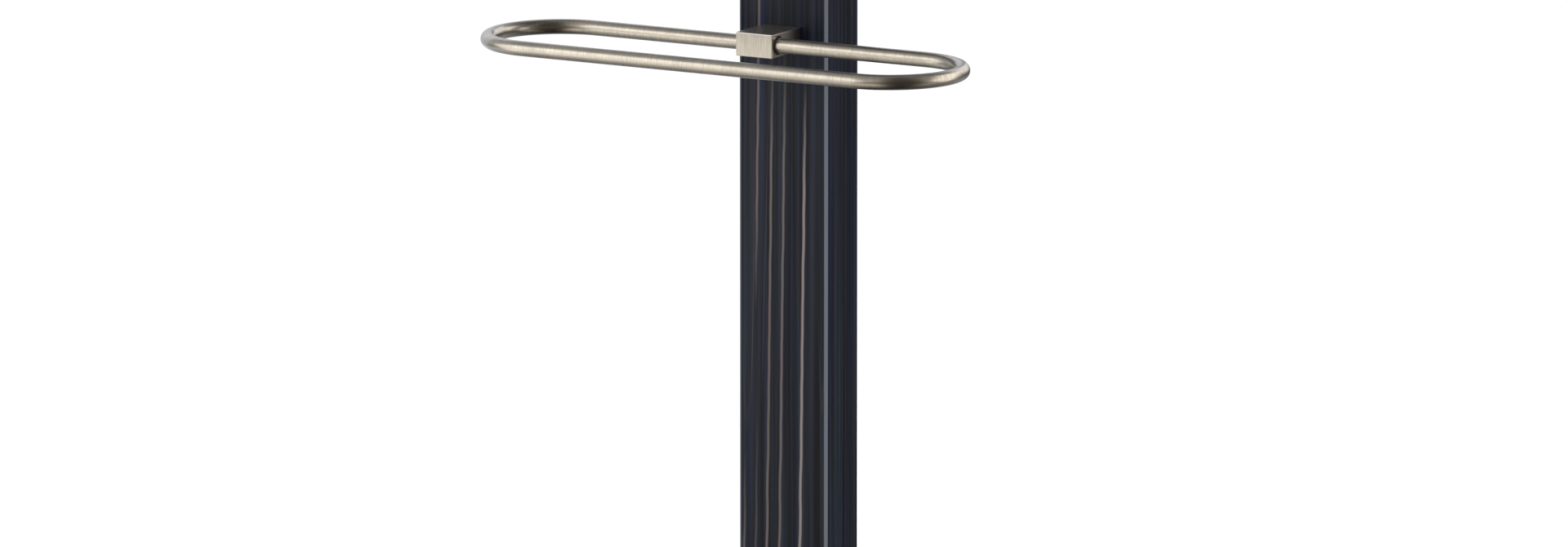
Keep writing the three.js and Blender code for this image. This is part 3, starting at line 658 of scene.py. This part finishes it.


# The bracket's edges get the painted highlight.
nickel_brushed_up = brushed_nickel("nickel_brushed_upwards", object_place,
                                   (1 / BRUSH_WIDTH, 1 / BRUSH_WIDTH, 1 / BRUSH_LENGTH),
                                   brightness=BRACKET_BRIGHTNESS, painted_edge_glint=1.0)
hinge = next(joint for joint in frame["joints"] if joint["name"] == "rail_fold")
rail_axis = Vector(hinge["pos_m"])
rod_radius = rod_high.y - rail_axis.y
arm_low, arm_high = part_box("rail_bracket")
bush_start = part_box("rail_bush_right")[0].x
bush_radius = half_width("rail_bush_right", axis=2)


def along_rail(x):
    """A place on the rail's axis whose own +Z points along it."""
    return standing_on(Vector((x, rail_axis.y, rail_axis.z)), (1, 0, 0))


set_screw_radius = half_width("rail_set_screw_right")
tapped_holes = []
for side in SIDES:
    middle = centre_of(f"rail_set_screw_{side}")
    face = Vector((middle.x, middle.y, arm_low.z))
    tapped_holes.append(drilled(set_screw_radius + FIT, depth=SET_SCREW_LENGTH, past=MM,
                                face=face, axis=(0, 0, -1), sides=32))
arm = block("nickel_arm", arm_low, arm_high, ARM_EDGE)
bore, mouth = rod_radius + ROD_CLEARANCE, bush_radius + FIT
step, past = bush_start - FIT, 2 * arm_high.x
stepped_bore = turned("stepped_bore", [(0, -past), (mouth, -past), (mouth, -step), (bore, -step),
                                       (bore, step), (mouth, step), (mouth, past), (0, past)],
                      sides=64)
stepped_bore.transform(along_rail(0))
place("nickel_arm", worked(arm, [stepped_bore, *tapped_holes]), nickel_brushed_up,
      "brushed_nickel", "rail_bracket")


# ---- Bushes and set screws ----
# Two black nylon rings sit just inside the mouths of the bracket's bore and carry the rod. From
# below, a hexagon-socket set screw bears on each end of the rod and sets its grip.
NYLON_BLACK = srgb("191919")
NYLON_GRAIN = 0.5 * MM
CHAMFER = 0.3 * MM
HEXAGON_DEPTH = 1.2 * MM

# Turned nylon: a black that shines a little, like wax.
black_nylon, tree = material_of("black_nylon")
grain = node(tree, "TexNoise", {"Vector": object_place(tree), "Scale": 1 / NYLON_GRAIN,
                                "Detail": 2.0})
tone = node(tree, "MapRange", [grain, 0.3, 0.7, 0.85, 1.2])
inky = node(tree, "VectorMath", [NYLON_BLACK[:3], tone], operation="MULTIPLY")
surface = node(tree, "BsdfPrincipled", {"Base Color": inky, "Roughness": 0.5, "IOR": 1.53})
node(tree, "OutputMaterial", [surface])


def hexagon_socket(across, depth):
    """The cut that a hexagon key fits, from z = 0 down."""
    def build(bm):
        radius = across / math.sqrt(3)
        bmesh.ops.create_cone(bm, cap_ends=True, segments=6, radius1=radius, radius2=radius,
                              depth=2 * depth)
    return mesh_of("hexagon", build)


bush_half = half_width("rail_bush_right")
bush_outline = [(bore, CHAMFER - bush_half), (bore + CHAMFER, -bush_half),
                (bush_radius - CHAMFER, -bush_half), (bush_radius, CHAMFER - bush_half),
                (bush_radius, bush_half - CHAMFER), (bush_radius - CHAMFER, bush_half),
                (bore + CHAMFER, bush_half), (bore, bush_half - CHAMFER),
                (bore, CHAMFER - bush_half)]
nylon_bush = worked(turned("nylon_bush", bush_outline), sharp=30)
set_screw_outline = [(0, -SET_SCREW_LENGTH), (set_screw_radius, -SET_SCREW_LENGTH),
                     (set_screw_radius, -CHAMFER), (set_screw_radius - CHAMFER, 0), (0, 0)]
set_screw = worked(turned("set_screw", set_screw_outline),
                   [hexagon_socket(set_screw_radius, HEXAGON_DEPTH)], sharp=30)
set_screw_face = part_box("rail_set_screw_right")[0].z
for side in SIDES:
    middle = centre_of(f"rail_bush_{side}")
    place(f"nylon_bush_{side}", nylon_bush, black_nylon, "black_nylon", f"rail_bush_{side}",
          at=along_rail(middle.x))
    middle = centre_of(f"rail_set_screw_{side}")
    place(f"socket_set_screw_{side}", set_screw, powder_coat, "black_steel",
          f"rail_set_screw_{side}",
          at=standing_on(Vector((middle.x, middle.y, set_screw_face)), (0, 0, -1)))


# ---- Rail ----
# One round steel bar bent to a loop with half-round ends, brushed round and round and plated in
# the same nickel. Its two ends meet inside the bracket, and it folds about its rear length.
ROD_SIDES = 40
BEND_STEPS = 60  # for each half-round end
STRAIGHT_STEP = 12 * MM
ROD_BRUSH_LENGTH = 10 * MM
ROD_END = 1 * MM  # how far each end of the bar stops from the middle of the bracket

bend = (rail_axis.y - rod_low.y - rod_radius) / 2
straight = rod_high.x - rod_radius - bend


def rod_route():
    """The points of the rod's centreline and the way it heads at each, from end to end."""
    route = []
    half = np.linspace(ROD_END, straight, round(straight / STRAIGHT_STEP))
    route += [(x, 0, 1, 0) for x in half[:-1]]
    for a in np.linspace(0, math.pi, BEND_STEPS + 1):
        route.append((straight + bend * math.sin(a), bend * (math.cos(a) - 1),
                      math.cos(a), -math.sin(a)))
    whole = np.linspace(straight, -straight, 2 * len(half))
    route += [(x, -2 * bend, -1, 0) for x in whole[1:-1]]
    for a in np.linspace(0, math.pi, BEND_STEPS + 1):
        route.append((-straight - bend * math.sin(a), bend * (-1 - math.cos(a)),
                      -math.cos(a), math.sin(a)))
    route += [(-x, 0, 1, 0) for x in half[::-1][1:]]
    return [(rail_axis + Vector((x, y, 0)), Vector((u, v, 0))) for x, y, u, v in route]


def rod_mesh():
    """The rod, with the distance along it and round it in metres as its UV map."""
    bm = bmesh.new()
    lengthwise = bm.loops.layers.uv.new("brushing")
    rings, runs, run, last = [], [], 0.0, None
    for point, heading in rod_route():
        outwards = heading.cross(Vector((0, 0, 1)))
        rings.append([bm.verts.new(point + outwards * (rod_radius * math.cos(a))
                                   + Vector((0, 0, rod_radius * math.sin(a))))
                      for a in (2 * math.pi * i / ROD_SIDES for i in range(ROD_SIDES))])
        run += (point - last).length if last else 0.0
        runs.append(run)
        last = point
    step = 2 * math.pi * rod_radius / ROD_SIDES
    for i in range(len(rings) - 1):
        for j in range(ROD_SIDES):
            k = (j + 1) % ROD_SIDES
            face = bm.faces.new((rings[i][j], rings[i + 1][j], rings[i + 1][k], rings[i][k]))
            corners = ((runs[i], j), (runs[i + 1], j), (runs[i + 1], j + 1), (runs[i], j + 1))
            for loop, (along, round_it) in zip(face.loops, corners):
                loop[lengthwise].uv = (along, round_it * step)
    bm.faces.new(rings[0])
    bm.faces.new(rings[-1][::-1])
    bmesh.ops.recalc_face_normals(bm, faces=bm.faces)
    mesh = bpy.data.meshes.new("nickel_rod")
    bm.to_mesh(mesh)
    bm.free()
    mesh.shade_smooth()
    mesh.set_sharp_from_angle(angle=math.radians(40))
    return mesh


def along_the_rod(tree):
    """How far a point lies along the rod and round it, in metres."""
    return node(tree, "UVMap", uv_map="brushing").outputs[0]


nickel_brushed_round = brushed_nickel("nickel_brushed_round_the_bar", along_the_rod,
                                      (1 / BRUSH_WIDTH, 1 / ROD_BRUSH_LENGTH, 1.0))
place("nickel_rod", rod_mesh(), nickel_brushed_round, "brushed_nickel", "rail_rod", body="rail")


# ---- Backplate ----
# A thin nickel plate on the post's back spreads the load of the two hexagon-socket screws that
# pull the bracket tight.
BACKPLATE_EDGE = 0.6 * MM

nickel_brushed_across = brushed_nickel("nickel_brushed_across", object_place,
                                       (1 / BRUSH_LENGTH, 1 / BRUSH_WIDTH, 1 / BRUSH_WIDTH))
back_low, back_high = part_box("rail_backplate")
head = half_width("bracket_screw_left")
bracket_screw = countersunk("bracket_screw", 0.55 * head, head, length=2.8 * MM,
                            recess=hexagon_socket(head, depth=1.6 * MM))
sinks = []
for side in SIDES:
    face = centre_of(f"bracket_screw_{side}")
    face.y = back_high.y
    sinks.append(sink_for(head, face, (0, 1, 0)))
    place(f"socket_screw_{side}", bracket_screw, nickel_brushed_across, "brushed_nickel",
          f"bracket_screw_{side}", at=standing_on(face, (0, 1, 0)))
back = block("nickel_backplate", back_low, back_high)
place("nickel_backplate", worked(back, sinks, edge=BACKPLATE_EDGE), nickel_brushed_across,
      "brushed_nickel", "rail_backplate")


# ---- Jacket shoulders ----
# Two solid wings, shaped like a coat hanger's and widest at their tips, in the same black
# finish. Each slides on the steel spine and is screwed to it from behind.
WING_STATIONS = 44
WING_SIDES = 56
WING_DROP = 30 * MM  # from a wing's top to the line that its curves are drawn about
HEAD_HEIGHT = 3 * MM
THREAD_SHOWN = 2 * MM  # of each wood screw; the rest is in the wood


def curve_through(*points):
    """The X and the other coordinate along a Bezier curve, as two arrays."""
    t = np.linspace(0, 1, 60)[:, None]
    made = np.zeros((60, 2))
    count = len(points) - 1
    for i, point in enumerate(points):
        made += math.comb(count, i) * t ** i * (1 - t) ** (count - i) * np.array(point)
    return made[:, 0], made[:, 1]


def edge_line(stations, *curves):
    """One coordinate of the wing's edge at each station along it."""
    x = np.concatenate([curve[0] for curve in curves])
    y = np.concatenate([curve[1] for curve in curves])
    order = np.argsort(x, kind="stable")
    return np.interp(stations, x[order], y[order])


def wing(side, mirror):
    """A wing lofted along X through rounded sections that grow squarer towards the post.

    Its edges' curves are in millimetres, outwards from its inner end and up from its line, or
    back from the post's middle. mirror is 1 for a wing that runs to the right and -1 to the left.
    """
    low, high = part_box(f"shoulder_{side}")
    length = (high.x - low.x) / MM
    inner = (low.x if mirror > 0 else high.x)
    post_middle = (post_low.y + post_high.y) / 2
    line = high.z - WING_DROP
    stations = length * (1 - np.cos(np.linspace(0, math.pi / 2, WING_STATIONS)))[::-1]
    stations = length - stations
    top = edge_line(stations, curve_through((0, 30), (54, 24.6), (111.6, -2.4), (171, -24)),
                    curve_through((171, -24), (180, -27.9), (180, -39)))
    bottom = edge_line(stations, curve_through((0, -30), (90, -48.6), (167.4, -54)),
                       curve_through((167.4, -54), (180, -54), (180, -39)))
    front = edge_line(stations, curve_through((0, -16), (90, -17.6), (163.8, -47)),
                      curve_through((163.8, -47), (180, -47), (180, -26)))
    rear = edge_line(stations, curve_through((0, 16), (90, 16.8), (163.8, -5)),
                     curve_through((163.8, -5), (180, -5), (180, -26)))

    def build(bm):
        rings = []
        for i, x in enumerate(stations):
            power = 2 / (5.5 - 2.7 * (x / length))
            ease = 0.985 if i == 0 else 1.0
            half_y, half_z = ease * (rear[i] - front[i]) / 2, ease * (top[i] - bottom[i]) / 2
            ring = []
            for a in (2 * math.pi * j / WING_SIDES for j in range(WING_SIDES)):
                y = math.copysign(abs(math.cos(a)) ** power, math.cos(a)) * half_y
                z = math.copysign(abs(math.sin(a)) ** power, math.sin(a)) * half_z
                ring.append(bm.verts.new((inner + mirror * x * MM,
                                          post_middle + ((rear[i] + front[i]) / 2 + y) * MM,
                                          line + ((top[i] + bottom[i]) / 2 + z) * MM)))
            rings.append(ring)
        for a, b in zip(rings, rings[1:]):
            for j in range(WING_SIDES):
                k = (j + 1) % WING_SIDES
                bm.faces.new((a[j], b[j], b[k], a[k]))
        bm.faces.new(rings[0])
        bm.faces.new(rings[-1])
        bmesh.ops.remove_doubles(bm, verts=bm.verts, dist=1e-6)
    return mesh_of(f"carved_shoulder_{side}", build)


def pan_head(name, shank, head, height, length, recess_width):
    """A domed screw with its seat at z = 0."""
    dome = [(head * math.cos(a), height * (0.35 + 0.65 * math.sin(a)))
            for a in (math.radians(d) for d in range(0, 90, 10))]
    profile = [(0, -length), (shank, -length), (shank, 0), (head, 0), *dome, (0, height)]
    recess = cross_recess(recess_width, 0.6 * height)
    recess.transform(Matrix.Translation((0, 0, height)))
    return worked(turned(name, profile), [recess], sharp=30)


head = half_width("shoulder_screw_left_1")
wood_screw = pan_head("wood_screw", head / 2, head, HEAD_HEIGHT, length=THREAD_SHOWN,
                      recess_width=1.1 * head)
carved_ebony = ebony("ebonised_wood_carved", "x")
for side, mirror in (("left", -1), ("right", 1)):
    pockets = []
    for number in (1, 2):
        name = f"shoulder_screw_{side}_{number}"
        seat = centre_of(name)
        seat.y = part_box(name)[1].y - HEAD_HEIGHT
        pockets.append(drilled(head + HEAD_ROOM, depth=FIT, past=30 * MM, face=seat,
                               axis=(0, 1, 0)))
        place(f"pan_screw_{side}_{number}", wood_screw, zinc_plate, "zinc_steel", name,
              at=standing_on(seat, (0, 1, 0)))
    place(f"carved_shoulder_{side}", worked(wing(side, mirror), pockets, sharp=50),
          carved_ebony, "black_wood", f"shoulder_{side}")
seat = Vector((spine_middle.x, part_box("spine_screw")[1].y - HEAD_HEIGHT, spine_middle.z))
place("pan_screw_spine", wood_screw, zinc_plate, "zinc_steel", "spine_screw",
      at=standing_on(seat, (0, 1, 0)))


# ---- Tray ----
# A shallow tray routed from one board in the same finish, with round corners inside, for a
# watch, keys and coins.
TRAY_CORNER = 6 * MM
TRAY_LIP = 0.7 * MM

tray_low, tray_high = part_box("tray")
liner_low, liner_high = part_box("tray_liner")
hollow_low, hollow_high = grown(liner_low, liner_high, FIT)
hollow = block("hollow", hollow_low, (hollow_high.x, hollow_high.y, tray_high.z + 10 * MM),
               corner=TRAY_CORNER)
tray_blank = block("routed_tray", tray_low, tray_high, EDGE_RADIUS)
place("routed_tray", worked(tray_blank, [hollow], edge=TRAY_LIP, sharp=60), ebony_along_x,
      "black_wood", "tray")


# ---- Tray liner ----
# A sheet of dark brown leather, laid in the tray's floor with its edge rounded over, and a line
# of saddle stitching round it.
HIDE_DARK = srgb("35251d")
HIDE_PALE = srgb("46322a")
HIDE_CLOUD = 40 * MM
PEBBLE = 1.4 * MM
LINER_EDGE = 0.8 * MM
FLAX_DARK = srgb("8a6f52")
FLAX_PALE = srgb("a78b69")
THREAD = 0.9 * MM
STITCH = 4.2 * MM  # from one stitch to the next
STITCH_INSET = 5 * MM
STITCH_SLANT = math.radians(7)

# Dyed and pebbled calf: a soft brown whose grain catches a low light.
liner_leather, tree = material_of("dark_brown_leather")
on_hide = object_place(tree)
pebbles = node(tree, "TexVoronoi", {"Vector": on_hide, "Scale": 1 / PEBBLE},
               feature="SMOOTH_F1")
hide = node(tree, "TexNoise", {"Vector": on_hide, "Scale": 1 / HIDE_CLOUD, "Detail": 3.0})
brown = node(tree, "Mix", {0: hide, 6: HIDE_DARK, 7: HIDE_PALE}, data_type="RGBA")
pits = node(tree, "MapRange", [pebbles.outputs["Distance"], 0.1, 0.6, 1.1, 0.7])
brown = node(tree, "VectorMath", [brown.outputs[2], pits], operation="MULTIPLY")
pebble_relief = node(tree, "Bump", {"Strength": 0.6, "Distance": 0.12 * MM,
                                    "Height": pebbles.outputs["Distance"]})
pebble_relief.invert = True
surface = node(tree, "BsdfPrincipled", {
    "Base Color": brown, "Roughness": 0.52, "IOR": 1.45, "Normal": pebble_relief})
node(tree, "OutputMaterial", [surface])

# Waxed linen: a dull tan with a twist in it.
waxed_thread, tree = material_of("waxed_linen_thread")
twist = node(tree, "TexWave", {"Vector": object_place(tree), "Scale": 1 / (2 * THREAD),
                               "Distortion": 1.0}, bands_direction="DIAGONAL")
flax = node(tree, "Mix", {0: twist.outputs["Color"], 6: FLAX_DARK, 7: FLAX_PALE},
            data_type="RGBA")
surface = node(tree, "BsdfPrincipled", {
    "Base Color": flax.outputs[2], "Roughness": 0.6, "IOR": 1.5})
node(tree, "OutputMaterial", [surface])

liner = block("leather_liner", liner_low, liner_high, LINER_EDGE, corner=TRAY_CORNER - FIT)
place("leather_liner", worked(liner, sharp=50), liner_leather, "tray_leather", "tray_liner")


def stitch_places():
    """Where each stitch lies round the liner and the way it points."""
    half_x = (liner_high.x - liner_low.x) / 2 - STITCH_INSET
    half_y = (liner_high.y - liner_low.y) / 2 - STITCH_INSET
    middle = (liner_low + liner_high) / 2
    for half_long, half_wide, turn in ((half_x, half_y, 0), (half_y, half_x, math.pi / 2)):
        count = round(2 * half_long / STITCH)
        for i in range(count):
            along = (i + 0.5) * 2 * half_long / count - half_long
            for side in (-1, 1):
                spot = Matrix.Rotation(turn, 3, "Z") @ Vector((along, side * half_wide, 0))
                yield Vector((middle.x, middle.y, liner_high.z)) + spot, turn


def stitching(bm):
    """One flattened bead of thread for each stitch."""
    for spot, turn in stitch_places():
        shape = Matrix.Diagonal((0.4 * STITCH, THREAD / 2, 0.3 * THREAD, 1.0))
        spin = Matrix.Rotation(turn + STITCH_SLANT, 4, "Z")
        bmesh.ops.create_uvsphere(bm, u_segments=10, v_segments=6, radius=1.0,
                                  matrix=Matrix.Translation(spot) @ spin @ shape)


threads = mesh_of("saddle_stitching", stitching)
threads.shade_smooth()
place("saddle_stitching", threads, waxed_thread, "tray_leather")


# ---- Tray plate ----
# A nickel-plated steel plate with round corners, brushed from side to side. It is screwed down
# into the post's end grain, and four pan-head screws go up through it into the tray.
TRAY_PLATE_CORNER = 5 * MM
TRAY_PLATE_EDGE = 0.8 * MM

plate_low, plate_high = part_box("tray_plate")
under_plate = block("nickel_tray_plate", plate_low, plate_high, corner=TRAY_PLATE_CORNER)
place("nickel_tray_plate", worked(under_plate, edge=TRAY_PLATE_EDGE, sharp=60),
      nickel_brushed_across, "brushed_nickel", "tray_plate")
head = half_width("tray_screw_front_left")
tray_screw = pan_head("tray_screw", head / 2, head, height=2.4 * MM, length=THREAD_SHOWN,
                      recess_width=1.1 * head)
for corner in CORNERS:
    name = f"tray_screw_{corner}"
    seat = centre_of(name)
    seat.z = plate_low.z - FIT
    place(f"pan_screw_{corner}", tray_screw, zinc_plate, "zinc_steel", name,
          at=standing_on(seat, (0, 0, -1)))


# ---- What the wood hides ----
# The bolts, washers and inserts of the post's joint, its beech dowels, the spine and the
# plate's screws keep their plain shapes, in their own finishes.
BEECH_FLECK = srgb("c49c74")
BEECH_PINK = srgb("d8b48c")
FLECK_WIDTH = 0.6 * MM
FLECK_LENGTH = 16.7 * MM

# Unfinished beech: a matt pinkish wood with short flecks.
raw_beech, tree = material_of("raw_beech")
upright = node(tree, "Mapping", {"Vector": object_place(tree), "Scale": (
    1 / FLECK_WIDTH, 1 / FLECK_WIDTH, 1 / FLECK_LENGTH)})
fleck = node(tree, "TexNoise", {"Vector": upright, "Scale": 1.0, "Detail": 2.0})
pink = node(tree, "Mix", {0: fleck, 6: BEECH_FLECK, 7: BEECH_PINK}, data_type="RGBA")
surface = node(tree, "BsdfPrincipled", {
    "Base Color": pink.outputs[2], "Roughness": 0.7, "IOR": 1.5})
node(tree, "OutputMaterial", [surface])

for name, finish in (("post_bolt", zinc_plate), ("post_washer", zinc_plate),
                     ("post_insert", zinc_plate), ("post_dowel", raw_beech),
                     ("hanger_spine", powder_coat), ("plate_screw", zinc_plate)):
    for hidden, part in frame["nodes"].items():
        if hidden.startswith(name):
            part.data.materials.clear()
            part.data.materials.append(finish)
